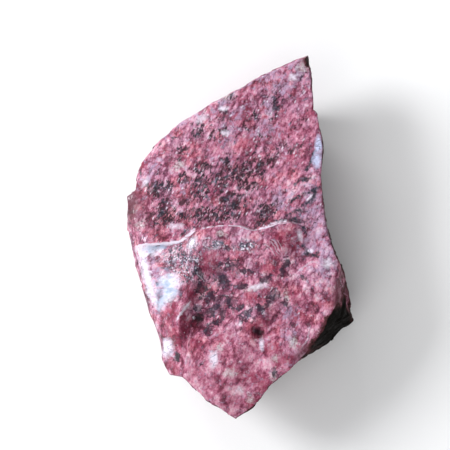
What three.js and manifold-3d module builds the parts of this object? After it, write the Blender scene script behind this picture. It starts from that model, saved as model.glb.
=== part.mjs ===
// A rough, hand-sized piece of rhyolite, lying on its flattest break with its broad face up.
// Millimetres, +Z up, the origin under the middle of the stone on the surface that it rests on.
//
// The stone is one solid. distance(p) is below zero inside it, and is worked out from the way the
// piece broke: side walls that follow one outline, a broad face with a raised layer on its lower
// half, flat breaks round the sides and underneath, and shallow shell-shaped flake scars.
// contour() then wraps a mesh round it, with its corners on the sharp edges of the stone, and the
// patch that the stone rests on is cut flat.
import * as THREE from "three";
import { ImprovedNoise } from "three/addons/math/ImprovedNoise.js";
import { mergeVertices } from "three/addons/utils/BufferGeometryUtils.js";
import Module from "manifold-3d";

// ---- Driving dimensions ----
const CROWN = 31; // height at which the outline below is measured
const MESH_STEP = 2.1; // spacing of the mesh
const MESH_BOX = { low: [-40, -60, -8], high: [40, 61, 40] }; // the stone lies within this, before the cut
const EDGE_RADIUS = 0.9; // how far the sharp edges are worn
const VANISHING_POINT = new THREE.Vector3(85, -71, 497); // the side walls lean towards this point

const LAYER_THICKNESS = 2.6; // how far the raised layer stands above the upper face
const LAYER_EDGE = 1.5; // width of the broken edge in front of the layer

// ---- Outline of the side walls, seen from above ----
function outlinePoints() {
  const outline = new THREE.Shape();
  outline.moveTo(21.7, 55.2); // the sharp tip
  outline.quadraticCurveTo(22.3, 45, 24.2, 35.2);
  outline.lineTo(25.8, 28.9);
  outline.lineTo(25.3, 14.8);
  outline.quadraticCurveTo(26.0, 3.2, 29.5, -6.2);
  outline.quadraticCurveTo(33.4, -14.2, 33.9, -21.5);
  outline.lineTo(36.6, -28.8); // the dark corner
  outline.lineTo(32.2, -32.8);
  outline.lineTo(26.4, -33.5);
  outline.lineTo(19.9, -36.3);
  outline.lineTo(8.7, -45.0);
  outline.lineTo(4.2, -50.7);
  outline.lineTo(-0.7, -54.0); // the blunt lower tip
  outline.lineTo(-10.1, -47.8);
  outline.lineTo(-16.8, -41.3);
  outline.lineTo(-21.9, -40.9);
  outline.lineTo(-24.2, -36.0);
  outline.quadraticCurveTo(-26.6, -22.8, -31.0, -10.1);
  outline.quadraticCurveTo(-34.0, -1.2, -34.4, 4.8);
  outline.lineTo(-33.7, 9.4);
  outline.lineTo(-34.2, 13.4);
  outline.lineTo(-31.6, 15.4); // the notch above the left shoulder
  outline.lineTo(-31.0, 22.0);
  outline.quadraticCurveTo(-27.4, 29.1, -16.3, 36.8);
  outline.quadraticCurveTo(-0.2, 46.4, 21.7, 55.2);
  return outline.getPoints(5);
}

// ---- Flat breaks ----
// facing is the turn from +X in degrees, and pitch how far the break looks up (+) or down (-).
const CROWN_BREAKS = [
  { name: "dark corner", facing: -28, pitch: 25, through: [26.6, -20.9, 31.8] },
  { name: "right strip", facing: -4, pitch: 12, through: [29.4, -13, 31.8] },
  { name: "lower rim", facing: -44, pitch: 6, through: [12.6, -41.6, 28] },
  { name: "left strip", facing: 199, pitch: 38, through: [-28.3, -10.5, 27] },
  { name: "tip", facing: 46, pitch: 34, through: [21.4, 53.6, 28] },
];

// Each of these leaves the side wall at the height top and runs in under the stone.
const WALL_BREAKS = [
  { name: "upper wall", facing: 121, pitch: -14, top: 25 },
  { name: "upper wall, far end", facing: 106, pitch: -27, top: 21 },
  { name: "upper wall foot", facing: 131, pitch: -37, top: 16 },
  { name: "right wall", facing: 8, pitch: -8, top: 25 },
  { name: "right wall foot", facing: 14, pitch: -31, top: 16 },
  { name: "right shoulder", facing: -10, pitch: -24, top: 18 },
  { name: "corner foot", facing: -36, pitch: -32, top: 15 },
  { name: "lower right wall", facing: -51, pitch: -17, top: 25 },
  { name: "lower right foot", facing: -60, pitch: -41, top: 18 },
  { name: "lower left wall", facing: 228, pitch: -15, top: 22 },
  { name: "lower left foot", facing: 240, pitch: -40, top: 17 },
  { name: "left wall", facing: 200, pitch: -12, top: 18 },
  { name: "left wall foot", facing: 190, pitch: -38, top: 13 },
  { name: "left shoulder", facing: 168, pitch: -18, top: 22 },
  { name: "left shoulder foot", facing: 155, pitch: -36, top: 15 },
];

// The underside rises gently all round the patch that the stone rests on.
const UNDER_BREAKS = [
  { name: "under the tip", facing: 74, pitch: -80, through: [2, 17, -0.9] },
  { name: "under the lower tip", facing: 262, pitch: -78, through: [0, -22, -0.9] },
  { name: "under the left", facing: 186, pitch: -80, through: [-17, 0, -0.9] },
  { name: "under the right", facing: -12, pitch: -81, through: [17, -6, -0.9] },
];

// ---- Flake scars: a sphere outside the stone that bites a shallow dish out of its side ----
const SCARS = [
  { name: "upper wall scar", at: [-21, 54.5, 7], radius: 20.5 },
  { name: "tip scar", at: [12, 66.5, 4], radius: 18.5 },
  { name: "right wall scar", at: [41.5, 13, 13], radius: 17.5 },
  { name: "right foot scar", at: [36, 38, -2], radius: 18 },
  { name: "lower right scar", at: [25, -55, 6], radius: 18 },
  { name: "lower left scar", at: [-22, -60, 6], radius: 18.5 },
  { name: "left wall scar", at: [-45.5, -21, 3], radius: 18 },
  { name: "shoulder scar", at: [-46, 19, 1], radius: 18.5 },
  { name: "underside scar", at: [8, 30, -17], radius: 20 },
];

// Smaller scars scattered over the sides and the underside: how many, and their ranges of size.
const CHIPS = { seed: 11, sides: 58, under: 16, radius: [13, 40], bite: [0.8, 1.9], heights: [2, 20] };

// ---- The broad face ----
const UPPER_FACE = { height: 30.8, slopeX: 0.03, slopeY: -0.05 };
const SHOULDER = { crest: [-21, 12], facing: 150, fall: 0.13 }; // the upper face turns down to the left
const LOWER_FACE = { height: 33.2, slopeX: -0.03, slopeY: 0.1 };
const FLANK = { crest: [-12.6, -9], facing: 162, fall: 0.38 }; // the lower face turns down to the left
const LOWER_TIP = { crest: [-2, -37], facing: 256, fall: 0.2 }; // and down to the lower tip
const WANDER = { size: 7.5, reach: 0.8 }; // how far the lines on the face stray to and fro

// Where the edge of the raised layer crosses the face, from left to right.
const LAYER_LINE = [
  [-36, -0.6],
  [-26, -1.4],
  [-16, -0.8],
  [-12.5, 2.7],
  [-9.4, 3.8],
  [-2, 4.4],
  [1.6, 4.4],
  [5.2, 2.2],
  [8.6, 2.9],
  [15.2, 4.7],
  [20.4, 3.8],
  [36, 2],
];
const LAYER_FADE = { crest: [13.5, 0], facing: -24, over: 9 }; // where the layer runs out on the right

// The hollow in the lower face: steep on the side of the ridge, and shelving on the other.
const RIDGE_LINE = [
  [-40, -21],
  [-28, -18.6],
  [-21.5, -16.8],
  [-13, -13.4],
  [-4.5, -11.2],
  [10, -8],
];
const HOLLOW = { depth: 2.7, steepSide: 3.6, shelfFrom: 8, shelfTo: 29 };
const HOLLOW_ENDS = { low: [-34, -25], high: [-15, -3.5] };

// Smaller hollows and swellings: how high they stand, and how far they reach on each side.
const FACE_FORMS = [
  { name: "deep pit", at: [-12.4, -24.2], left: 2.6, right: 3.8, up: 3.2, down: 3, rise: -1.9 },
  { name: "round pit", at: [5.8, -28.8], left: 2.8, right: 3, up: 2.8, down: 2.6, rise: -2.1 },
  { name: "small pit", at: [-18.8, -36], left: 2.4, right: 2.4, up: 2.4, down: 2.4, rise: -1.2 },
  { name: "ridge", at: [-17.6, -24], left: 3.4, right: 2.4, up: 6.5, down: 5.5, rise: 0.9 },
  { name: "right swelling", at: [24.5, -11.5], left: 8, right: 9, up: 6.5, down: 9, rise: 1.5 },
  { name: "lower swelling", at: [11.5, -35], left: 9, right: 9, up: 6, down: 8, rise: 0.9 },
  { name: "valley", at: [19, -2.6], left: 5, right: 7, up: 5, down: 6, rise: -0.9 },
  { name: "shoulder lump", at: [-26, 19], left: 7, right: 8, up: 6, down: 6, rise: 0.6 },
  { name: "upper dish", at: [9, 24], left: 14, right: 13, up: 12, down: 13, rise: -0.8 },
];

// Unevenness of every face, and the coarser kind that only the sides and the underside have.
const ROUGHNESS = [
  { size: 12, depth: 0.42 },
  { size: 5.8, depth: 0.2 },
];
const SIDE_ROUGHNESS = { size: 16, depth: 0.8, from: 2.5, to: 10 };

// ---- Small helpers ----
const UP = new THREE.Vector3(0, 0, 1);
const noise = new ImprovedNoise();
const { clamp, degToRad, lerp, smoothstep } = THREE.MathUtils;

/** The larger of two distances, with the edge between them rounded. */
function roundedMax(a, b, radius) {
  const blend = Math.max(radius - Math.abs(a - b), 0) / radius;
  return Math.max(a, b) + (blend * blend * radius) / 4;
}

/** The lower of two heights, with the crest between them rounded. */
function roundedMin(a, b, radius) {
  return -roundedMax(-a, -b, radius);
}

/** Signed distance from (x, y) to a closed outline, below zero inside it. */
function polygonDistance(points, x, y) {
  let nearest = Infinity;
  let inside = false;
  for (let i = 0, j = points.length - 1; i < points.length; j = i, i += 1) {
    const a = points[i];
    const b = points[j];
    const edgeX = b.x - a.x;
    const edgeY = b.y - a.y;
    const length2 = edgeX * edgeX + edgeY * edgeY;
    if (length2 === 0) continue;
    const along = clamp(((x - a.x) * edgeX + (y - a.y) * edgeY) / length2, 0, 1);
    const offX = x - a.x - edgeX * along;
    const offY = y - a.y - edgeY * along;
    nearest = Math.min(nearest, offX * offX + offY * offY);
    const crosses = a.y > y !== b.y > y;
    if (crosses && x < ((b.x - a.x) * (y - a.y)) / (b.y - a.y) + a.x) inside = !inside;
  }
  return Math.sqrt(nearest) * (inside ? -1 : 1);
}

/** The second number of a line's points at the place t of their first number. */
function lineAt(line, t) {
  const next = Math.max(1, line.findIndex(([start]) => start >= t));
  const [t0, value0] = line[next - 1];
  const [t1, value1] = line[next];
  return lerp(value0, value1, clamp((t - t0) / (t1 - t0), 0, 1));
}

/** How far (x, y) lies past a crest, in the direction that the slope beyond it faces. */
function pastCrest({ crest, facing }, x, y) {
  const turn = degToRad(facing);
  return (x - crest[0]) * Math.cos(turn) + (y - crest[1]) * Math.sin(turn);
}

/** Direction in which a distance grows fastest at p, judged over a given reach. */
function slopeOf(measure, p, reach) {
  const probe = p.clone();
  const slope = new THREE.Vector3();
  for (const axis of ["x", "y", "z"]) {
    probe[axis] = p[axis] + reach;
    const ahead = measure(probe);
    probe[axis] = p[axis] - reach;
    slope[axis] = ahead - measure(probe);
    probe[axis] = p[axis];
  }
  return slope.normalize();
}

/** Numbers from 0 to 1 that are the same in every run (mulberry32). */
function seededRandom(seed) {
  let state = seed;
  return () => {
    state = (state + 0x6d2b79f5) | 0;
    let mixed = Math.imul(state ^ (state >>> 15), 1 | state);
    mixed ^= mixed + Math.imul(mixed ^ (mixed >>> 7), 61 | mixed);
    return ((mixed ^ (mixed >>> 14)) >>> 0) / 4294967296;
  };
}

/** 1 at the middle of a hollow or swelling, falling smoothly to 0 at its rim. */
function formShare({ at, left, right, up, down }, x, y) {
  const dx = x - at[0];
  const dy = y - at[1];
  const reach2 = (dx / (dx < 0 ? left : right)) ** 2 + (dy / (dy < 0 ? down : up)) ** 2;
  return reach2 < 1 ? (1 - reach2) ** 2 * (1 + reach2) : 0;
}

/** The place on the side walls that lies on the line from (x, y) on the crown's height, at the height z. */
function onSideWall(x, y, z) {
  const shrink = (VANISHING_POINT.z - z) / (VANISHING_POINT.z - CROWN);
  return new THREE.Vector3(lerp(VANISHING_POINT.x, x, shrink), lerp(VANISHING_POINT.y, y, shrink), z);
}

// ---- The stone ----
const outline = outlinePoints();

function breakNormal({ facing, pitch }) {
  const turn = degToRad(facing);
  const tilt = degToRad(pitch);
  const outward = new THREE.Vector3(Math.cos(turn), Math.sin(turn), 0);
  return outward.multiplyScalar(Math.cos(tilt)).addScaledVector(UP, Math.sin(tilt));
}

const breakPlanes = [...CROWN_BREAKS, ...UNDER_BREAKS].map((flat) => {
  const normal = breakNormal(flat);
  return { normal, offset: normal.dot(new THREE.Vector3(...flat.through)) };
});

for (const wallBreak of WALL_BREAKS) {
  const normal = breakNormal(wallBreak);
  const reaches = outline.map(({ x, y }) => normal.dot(onSideWall(x, y, wallBreak.top)));
  breakPlanes.push({ normal, offset: Math.max(...reaches) });
}

/** Height of the broad face at (x, y). */
function faceHeight(placeX, placeY) {
  const strayX = noise.noise(placeX / WANDER.size, placeY / WANDER.size, 3.7);
  const strayY = noise.noise(placeX / WANDER.size, placeY / WANDER.size, 9.2);
  const x = placeX + strayX * WANDER.reach;
  const y = placeY + strayY * WANDER.reach;

  const upperFace = UPPER_FACE.height + UPPER_FACE.slopeX * x + UPPER_FACE.slopeY * y;
  const upper = upperFace - roundedMax(pastCrest(SHOULDER, x, y), 0, 6) * SHOULDER.fall;

  const lowerFace = LOWER_FACE.height + LOWER_FACE.slopeX * x + LOWER_FACE.slopeY * (y + 3);
  const flankFall = roundedMax(pastCrest(FLANK, x, y), 0, 2) * FLANK.fall;
  const tipFall = roundedMax(pastCrest(LOWER_TIP, x, y), 0, 5) * LOWER_TIP.fall;
  const pastRidge = x - lineAt(RIDGE_LINE, y);
  const steepSide = smoothstep(pastRidge, 0, HOLLOW.steepSide);
  const shelf = 1 - smoothstep(pastRidge, HOLLOW.shelfFrom, HOLLOW.shelfTo);
  const lowEnd = smoothstep(y, ...HOLLOW_ENDS.low);
  const highEnd = 1 - smoothstep(y, ...HOLLOW_ENDS.high);
  const hollow = HOLLOW.depth * steepSide * shelf * lowEnd * highEnd;
  const lower = lowerFace - flankFall - tipFall - hollow;

  const runsOut = smoothstep(pastCrest(LAYER_FADE, x, y), 0, LAYER_FADE.over);
  const layer = smoothstep(lineAt(LAYER_LINE, x) - y, 0, LAYER_EDGE);
  const joined = lerp(upper, lower - runsOut * LAYER_THICKNESS * 0.75, layer);
  return FACE_FORMS.reduce((height, form) => height + form.rise * formShare(form, x, y), joined);
}

/** Distance from p to the stone as its large breaks left it. */
function largeForm(p, belowFace) {
  const shrink = (VANISHING_POINT.z - CROWN) / (VANISHING_POINT.z - p.z);
  const crownX = lerp(VANISHING_POINT.x, p.x, shrink);
  const crownY = lerp(VANISHING_POINT.y, p.y, shrink);
  let stone = roundedMax(polygonDistance(outline, crownX, crownY), -belowFace, EDGE_RADIUS);
  for (const { normal, offset } of breakPlanes) {
    stone = roundedMax(stone, normal.dot(p) - offset, EDGE_RADIUS);
  }
  for (const scar of SCARS) {
    stone = roundedMax(stone, insideScar(scar, p), EDGE_RADIUS);
  }
  return stone;
}

/** How deep p lies inside the sphere of a scar. */
function insideScar({ at, radius }, p) {
  return radius - Math.hypot(p.x - at[0], p.y - at[1], p.z - at[2]);
}

/** Small scars along the sides, and under the stone, each from a sphere that just bites the surface. */
function scatterChips() {
  const random = seededRandom(CHIPS.seed);
  const between = ([low, high]) => lerp(low, high, random());
  return Array.from({ length: CHIPS.sides + CHIPS.under }, (_, n) => {
    const turn = random() * Math.PI * 2;
    const outward = new THREE.Vector3(Math.cos(turn), Math.sin(turn), 0);
    const p = new THREE.Vector3(-2, lerp(-26, 26, random()), between(CHIPS.heights));
    if (n >= CHIPS.sides) {
      p.x = lerp(-20, 20, random());
      outward.set(0, 0, -1);
    }
    for (let step = 0; step < 40; step += 1) {
      p.addScaledVector(outward, -largeForm(p, faceHeight(p.x, p.y) - p.z) * 0.8);
    }
    const radius = between(CHIPS.radius);
    const slope = slopeOf((q) => largeForm(q, faceHeight(q.x, q.y) - q.z), p, 0.8);
    return { at: p.addScaledVector(slope, radius - between(CHIPS.bite)).toArray(), radius };
  });
}

const chips = scatterChips();

/** Distance from p to the stone's surface, below zero inside the stone. */
function distance(p) {
  const belowFace = faceHeight(p.x, p.y) - p.z;
  let stone = largeForm(p, belowFace);
  for (const chip of chips) {
    stone = roundedMax(stone, insideScar(chip, p), EDGE_RADIUS / 3);
  }
  for (const { size, depth } of ROUGHNESS) {
    stone += depth * noise.noise(p.x / size, p.y / size, p.z / size);
  }
  const { size, depth, from, to } = SIDE_ROUGHNESS;
  const lump = 0.25 + noise.noise(p.x / size, p.y / size, p.z / size + 5.5);
  return stone + Math.max(lump, 0) * depth * smoothstep(belowFace, from, to);
}

// ---- Meshing ----
const AXES = [
  [1, 0, 0],
  [0, 1, 0],
  [0, 0, 1],
];
const CELL_CORNERS = [0, 1, 2, 3, 4, 5, 6, 7].map((n) => [n & 1, (n >> 1) & 1, (n >> 2) & 1]);
const CELL_EDGES = CELL_CORNERS.flatMap((_, a) =>
  [1, 2, 4].filter((bit) => !(a & bit)).map((bit) => [a, a | bit]),
);

/** Where the surface crosses the line from a, at the distance da from it, to b. */
function crossingBetween(a, da, b, db) {
  let [low, high, lowValue, highValue] = [a, b, da, db];
  let at = low;
  for (let round = 0; round < 4; round += 1) {
    at = low.clone().lerp(high, clamp(lowValue / (lowValue - highValue), 0.05, 0.95));
    const value = distance(at);
    if (value < 0 === lowValue < 0) [low, lowValue] = [at, value];
    else [high, highValue] = [at, value];
  }
  return at;
}

/** The point of a cell that lies nearest to the surface's tangent planes, which finds its sharp edges. */
function cornerPoint(crossings, cellLow, step) {
  const margin = step * 0.04;
  const low = cellLow.clone().addScalar(margin);
  const high = cellLow.clone().addScalar(step - margin);
  const point = new THREE.Vector3();
  crossings.forEach(({ at }) => point.addScaledVector(at, 1 / crossings.length));
  const push = new THREE.Vector3();
  for (let round = 0; round < 12; round += 1) {
    push.set(0, 0, 0);
    for (const { at, slope } of crossings) {
      const above = slope.dot(point) - slope.dot(at);
      push.addScaledVector(slope, (-above * 1.2) / crossings.length);
    }
    point.add(push).clamp(low, high);
  }
  return point;
}

/** The distances at the corners of a grid of cubes between low and high. */
function sampleGrid(low, high, step) {
  const [nx, ny, nz] = high.clone().sub(low).divideScalar(step).ceil().addScalar(1).toArray();
  const index = (i, j, k) => (k * ny + j) * nx + i;
  const place = (i, j, k) => new THREE.Vector3(i, j, k).multiplyScalar(step).add(low);
  const samples = new Float64Array(nx * ny * nz);
  forEachCell([0, 0, 0], [nx, ny, nz], (i, j, k) => {
    samples[index(i, j, k)] = distance(place(i, j, k));
  });
  return { size: [nx, ny, nz], index, place, samples, step };
}

/** Calls visit(i, j, k) for each cell from the first to the one before the last. */
function forEachCell([i0, j0, k0], [i1, j1, k1], visit) {
  for (let k = k0; k < k1; k += 1)
    for (let j = j0; j < j1; j += 1)
      for (let i = i0; i < i1; i += 1) visit(i, j, k);
}

/** Moves the weakest corner of each grid square whose opposite corners agree, so no edge is shared twice. */
function separateSheets({ size, index, samples }) {
  const steps = [index(1, 0, 0), index(0, 1, 0), index(0, 0, 1)];
  const lastCells = size.map((n) => n - 1);
  let moved = true;
  while (moved) {
    moved = false;
    forEachCell([0, 0, 0], lastCells, (i, j, k) => {
      steps.forEach((u, axis) => {
        const v = steps[(axis + 1) % 3];
        const at = index(i, j, k);
        const square = [at, at + u, at + u + v, at + v];
        const [a, b, c, d] = square.map((n) => samples[n] < 0);
        if (a !== c || b !== d || a === b) return;
        const weakest = square.toSorted((m, n) => Math.abs(samples[m]) - Math.abs(samples[n]))[0];
        samples[weakest] = samples[weakest] < 0 ? 1e-3 : -1e-3;
        moved = true;
      });
    });
  }
}

/** The points where the surface crosses the edges of one cell, with its slope at each. */
function cellCrossings({ index, place, samples }, i, j, k) {
  const crossings = [];
  for (const [a, b] of CELL_EDGES) {
    const startCell = CELL_CORNERS[a].map((offset, axis) => [i, j, k][axis] + offset);
    const endCell = CELL_CORNERS[b].map((offset, axis) => [i, j, k][axis] + offset);
    const startValue = samples[index(...startCell)];
    const endValue = samples[index(...endCell)];
    if (startValue < 0 === endValue < 0) continue;
    const at = crossingBetween(place(...startCell), startValue, place(...endCell), endValue);
    crossings.push({ at, slope: slopeOf(distance, at, 0.2) });
  }
  return crossings;
}

/** A closed mesh round the surface where distance() is zero, one vertex to a cell that it crosses. */
function contour(low, high, step) {
  const grid = sampleGrid(low, high, step);
  separateSheets(grid);
  const { size, index, place, samples } = grid;
  const lastCells = size.map((n) => n - 1);

  const cellVertex = new Map();
  const points = [];
  forEachCell([0, 0, 0], lastCells, (i, j, k) => {
    const crossings = cellCrossings(grid, i, j, k);
    if (!crossings.length) return;
    cellVertex.set(index(i, j, k), points.length);
    points.push(cornerPoint(crossings, place(i, j, k), step));
  });

  const faces = [];
  const offSurface = (a, b) => Math.abs(distance(points[a].clone().lerp(points[b], 0.5)));
  function addQuad(a, b, c, d) {
    if (offSurface(a, c) < offSurface(b, d)) faces.push(a, b, c, a, c, d);
    else faces.push(a, b, d, b, c, d);
  }
  forEachCell([1, 1, 1], lastCells, (i, j, k) => {
    AXES.forEach(([ux, uy, uz], axis) => {
      const insideHere = samples[index(i, j, k)] < 0;
      if (insideHere === samples[index(i + ux, j + uy, k + uz)] < 0) return;
      const [vx, vy, vz] = AXES[(axis + 1) % 3];
      const [wx, wy, wz] = AXES[(axis + 2) % 3];
      const round = [
        index(i - vx - wx, j - vy - wy, k - vz - wz),
        index(i - wx, j - wy, k - wz),
        index(i, j, k),
        index(i - vx, j - vy, k - vz),
      ].map((cell) => cellVertex.get(cell));
      addQuad(...(insideHere ? round : round.reverse()));
    });
  });

  const geometry = new THREE.BufferGeometry().setFromPoints(points);
  geometry.setIndex(faces);
  return geometry;
}

// ---- Cutting the resting face ----
const wasm = await Module();
wasm.setup();

function solidFrom(geometry) {
  const bare = geometry.clone();
  bare.deleteAttribute("normal");
  bare.deleteAttribute("uv");
  const merged = mergeVertices(bare, 1e-4);
  const vertProperties = new Float32Array(merged.attributes.position.array);
  const triVerts = new Uint32Array(merged.index.array);
  return new wasm.Manifold(new wasm.Mesh({ numProp: 3, vertProperties, triVerts }));
}

function geometryFrom(solid) {
  const { vertProperties, triVerts } = solid.getMesh();
  const geometry = new THREE.BufferGeometry();
  geometry.setAttribute("position", new THREE.BufferAttribute(new Float32Array(vertProperties), 3));
  geometry.setIndex(new THREE.BufferAttribute(new Uint32Array(triVerts), 1));
  return geometry;
}

/** The stone with everything below the surface that it rests on cut away. */
function stoneGeometry() {
  const low = new THREE.Vector3(...MESH_BOX.low);
  const high = new THREE.Vector3(...MESH_BOX.high);
  const whole = solidFrom(contour(low, high, MESH_STEP));
  const depth = -low.z;
  const ground = new THREE.BoxGeometry(high.x - low.x, high.y - low.y, depth).translate(0, 0, -depth / 2);
  return geometryFrom(whole.subtract(solidFrom(ground)));
}

function makeStone() {
  const geometry = stoneGeometry();
  geometry.computeBoundingBox();
  const middle = geometry.boundingBox.getCenter(new THREE.Vector3());
  geometry.translate(-middle.x, -middle.y, -geometry.boundingBox.min.z);
  geometry.computeVertexNormals();
  const rhyolite = new THREE.MeshStandardMaterial({ color: 0xa9748d, roughness: 0.4, metalness: 0 });
  const mesh = new THREE.Mesh(geometry, rhyolite);
  mesh.name = "rhyolite_stone";
  return mesh;
}

const stone = new THREE.Group();
stone.add(makeStone());
export default stone;
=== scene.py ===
"""A rough piece of rose-pink rhyolite, lying with its broad face up.

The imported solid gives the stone's form. Here it gets a finer surface: the broken grain and small
facets as real relief, the crisp edge of the raised layer, and the minerals that colour it.
All lengths are in metres, in the frame of the solid: +Z up, +Y towards the sharp tip.
"""

import math

import bmesh
import bpy
import numpy as np
from mathutils import Matrix, Vector


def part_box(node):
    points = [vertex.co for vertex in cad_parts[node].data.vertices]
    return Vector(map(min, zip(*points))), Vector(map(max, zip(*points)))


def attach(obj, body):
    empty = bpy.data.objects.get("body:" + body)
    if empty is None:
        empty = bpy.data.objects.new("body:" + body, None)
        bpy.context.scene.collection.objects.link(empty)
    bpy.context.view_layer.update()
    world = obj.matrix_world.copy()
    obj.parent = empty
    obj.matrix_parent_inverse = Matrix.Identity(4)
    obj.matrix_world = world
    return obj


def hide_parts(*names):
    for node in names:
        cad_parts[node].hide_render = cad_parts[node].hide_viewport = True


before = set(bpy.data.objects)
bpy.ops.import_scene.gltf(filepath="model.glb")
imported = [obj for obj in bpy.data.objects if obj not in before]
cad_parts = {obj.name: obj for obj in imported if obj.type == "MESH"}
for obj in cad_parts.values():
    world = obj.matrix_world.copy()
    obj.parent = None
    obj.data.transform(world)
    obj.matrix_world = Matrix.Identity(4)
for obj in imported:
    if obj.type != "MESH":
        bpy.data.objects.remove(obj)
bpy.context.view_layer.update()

MM = 0.001
NODE = "rhyolite_stone"

# ---- Sizes and places ----
WELD = 0.002 * MM
QUAD_ANGLE = math.radians(50)  # two triangles this nearly level become one quad
SHARP_ANGLE = math.radians(33)  # edges of the solid sharper than this stay sharp
SHARPNESS = 0.75
FINE_LEVELS = 2  # subdivisions of the solid's surface

# The broken edge of the raised layer, from left to right: x and y in mm.
LIP = [
    (-34, -2.7), (-23.2, -2.8), (-15.1, -2.1), (-11.3, 0.5), (-8.9, 1.4), (-4.6, 1.8), (-0.3, 2.1),
    (3.3, 1.4), (7.3, 0.2), (10.2, 0.9), (13.8, 1.7), (17.8, 2.2), (21.1, 1.9), (28, 0.6),
]
RISER_MIDDLE = -0.75  # the middle of the broken edge, in y from its lip
LEDGE_REACH = 2.6 * MM  # how far from the ledge its surface is drawn in
LEDGE_SQUEEZE = 0.5  # and by how much

# Where the minerals are, in ovals: x, y, reach along and across in mm, and any turn in degrees.
SPECK_CLUSTERS = [
    (-5.8, 5.4, 9.5, 2.2), (0.6, 9.3, 3.9, 2.8), (-2.3, 15.6, 3.6, 2.6, 20), (-9.1, 15.3, 3, 2),
    (-9, 11.8, 2.4, 1.6), (-21.6, 13.8, 3.6, 2, 10), (-20.8, 5.2, 3.4, 2.2, 10), (-14, 9.6, 1.8, 1),
    (-8.4, 20.2, 2.8, 1.5, 10), (-1.5, 20.4, 1.1, 2.6), (5.8, 13.8, 2.2, 1.6), (-14.5, 16.8, 1.8, 1.8),
    (3, 13.5, 1, 1.4), (9.3, 19, 1.4, 2.3), (12.1, 21.7, 2.3, 1.6, 20), (6.2, 21.7, 2.6, 1.2, 10),
    (11.7, 6.2, 3.4, 2, 20), (9.6, 3.9, 2, 1.7), (13.7, 38.4, 1, 2.4), (-5.5, 30.1, 1, 1.7),
    (-2.4, 30.9, 1.4, 1.4), (-10.6, 31.1, 1.8, 1.5), (19.7, 24.7, 2, 0.8, 30), (-20.2, 9.2, 2.2, 2.2),
    (-24.4, 14.2, 2.2, 1.8), (2.9, 17.9, 4, 3), (-14.9, 26.3, 1.7, 0.8), (-2.2, 37.4, 1.4, 0.7),
]
FAINT_CLUSTERS = [
    (4.7, 33.4, 1.8, 3.6, 5), (7.2, 36.4, 2.4, 2.4), (13.1, 34.3, 2, 2.2), (22.4, 34.2, 1.6, 1.8),
    (9.3, 40.1, 2.2, 2), (12, 37.6, 2.2, 3.6), (-0.6, 42.2, 3, 1.4, 30), (-9.5, 33.6, 3.2, 2.2, 30),
    (-2, 36, 4, 2, 20), (16, 26, 3, 1.6, 30), (-16, 25, 3, 2, 20), (8, 25, 3.4, 2.2), (9, 29.2, 2.4, 1.8),
    (-11.6, 28.4, 2, 1.4), (0, 41.4, 2.2, 1.4, 30),
]
SALT_AND_PEPPER = [
    (-14.8, -7.2, 5.2, 4.6, 25), (-13.2, -12, 1.8, 3.6, 10), (-4.8, -4.2, 3.8, 1.8),
    (5.7, -4.8, 3.2, 1.4),
]
PALE_PATCHES = [
    (-8, -40.6, 2.4, 3.8, -12), (4.7, -29.2, 2.2, 1.8), (19.8, 33, 2.2, 1.8), (-24, -24.4, 1.8, 2.8, 5),
    (-16.1, -8, 1.8, 1.8), (-22, -8.5, 2.2, 4.6, 10), (0.6, -47.6, 2, 1.8), (20, -6.8, 1.8, 1.2),
    (20, 12.4, 3, 2.6), (18, 6.8, 2.6, 1.6), (14.4, 23.2, 2, 1.4), (-12.9, -21.9, 1.2, 1.4),
    (7, -36.6, 1.8, 1.6), (-15.3, 19.4, 2, 1.6), (18.4, 51, 2.4, 1, 25), (-14.9, -19, 1.4, 1),
    # The patch at -18.2, 32.8 is painted light on the upper-left bevel.
    (-18.2, 32.8, 3.6, 2, 42), (-25.3, -24.4, 1.2, 3, 5), (5.6, -33.5, 2, 1.8), (25.6, -14, 3, 2),
    (-7, -49.6, 2, 1.6, -40), (16.3, -15.6, 1.6, 1.4), (7.8, -6, 1.8, 1.2), (-5.5, 40.2, 2.6, 1.2, 30),
    (-23, 18, 1.8, 1.6), (-16.8, 7.2, 1.8, 1.4), (-0.4, -36.6, 1.6, 1.6), (3.5, 9.2, 1.6, 1.3),
    (31.6, -11, 1.2, 2), (-9, -39, 1.2, 1.6),
]
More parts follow.
